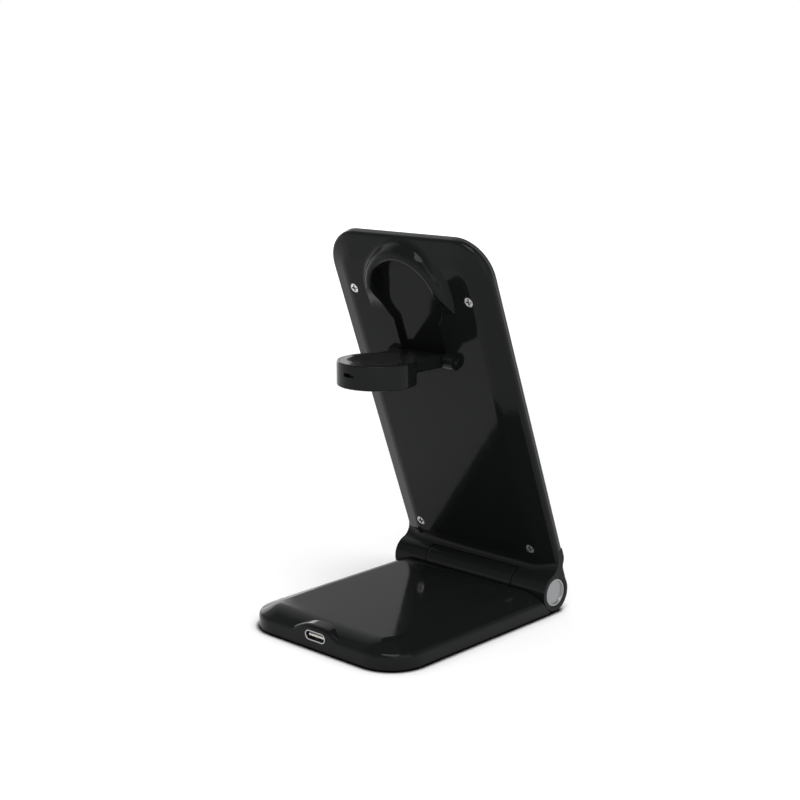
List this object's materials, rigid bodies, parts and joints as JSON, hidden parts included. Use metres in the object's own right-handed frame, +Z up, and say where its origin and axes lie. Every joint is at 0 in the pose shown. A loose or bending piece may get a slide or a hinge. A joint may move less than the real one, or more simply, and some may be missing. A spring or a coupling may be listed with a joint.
{
  "type": "folding wireless charger stand",
  "caption": "Folding charger stand: a flat base with an inlet, a hinged upright panel with a magnetic charging face, and a round puck that folds out of the panel's back.",
  "frame": {"origin": "centre of the footprint, on the surface that the feet stand on", "axes": "+Z up, +X along the main hinge, +Y from the hinge to the end with the inlet"},
  "size_m": [0.068, 0.0862, 0.1285],
  "materials": {
    "piano_black": "polished moulded black",
    "satin_black": "fine satin moulded black",
    "soft_pad": "soft matt",
    "foot_rubber": "matt",
    "puck_face": "polished, dished",
    "screw_steel": "bright zinc",
    "port_metal": "bright drawn",
    "port_tongue": "pale moulded with plated contacts",
    "satin_aluminium": "turned satin",
    "hinge_steel": "ground",
    "copper_coil": "enamelled wire",
    "ferrite": "matt sintered",
    "magnet_nickel": "nickel plated",
    "circuit_board": "solder resist"
  },
  "bodies": {
    "base": {"base_shell": "piano_black", "base_bottom_plate": "satin_black", "base_feet": "foot_rubber", "base_screws": "screw_steel", "usb_port_shell": "port_metal", "usb_port_tongue": "port_tongue", "base_circuit_board": "circuit_board", "base_charging_coil": "copper_coil", "base_ferrite_sheet": "ferrite", "hinge_friction_sleeves": "hinge_steel"},
    "panel": {"panel_back_cover": "piano_black", "panel_front_cover": "satin_black", "panel_front_pad": "soft_pad", "panel_screws": "screw_steel", "panel_magnets": "magnet_nickel", "panel_charging_coil": "copper_coil", "panel_ferrite_sheet": "ferrite", "panel_circuit_board": "circuit_board", "hinge_shaft": "hinge_steel", "hinge_cap_left": "satin_aluminium", "hinge_cap_right": "satin_aluminium", "puck_hinge_pin": "hinge_steel", "puck_hinge_washers": "hinge_steel"},
    "puck": {"puck_housing": "piano_black", "puck_cover": "puck_face", "puck_charging_coil": "copper_coil", "puck_ferrite_sheet": "ferrite", "puck_magnet": "magnet_nickel", "puck_circuit_board": "circuit_board"}
  },
  "joints": [
    {"name": "panel_fold", "type": "hinge", "parent": "base", "child": "panel", "pos_m": [0, -0.03662, 0.00705], "axis": [-1, 0, 0], "range_deg": [0, 69.15]},
    {"name": "puck_flip", "type": "hinge", "parent": "panel", "child": "puck", "pos_m": [0, -0.00774, 0.08711], "axis": [1, 0, 0], "range_deg": [0, 69.15]}
  ]
}
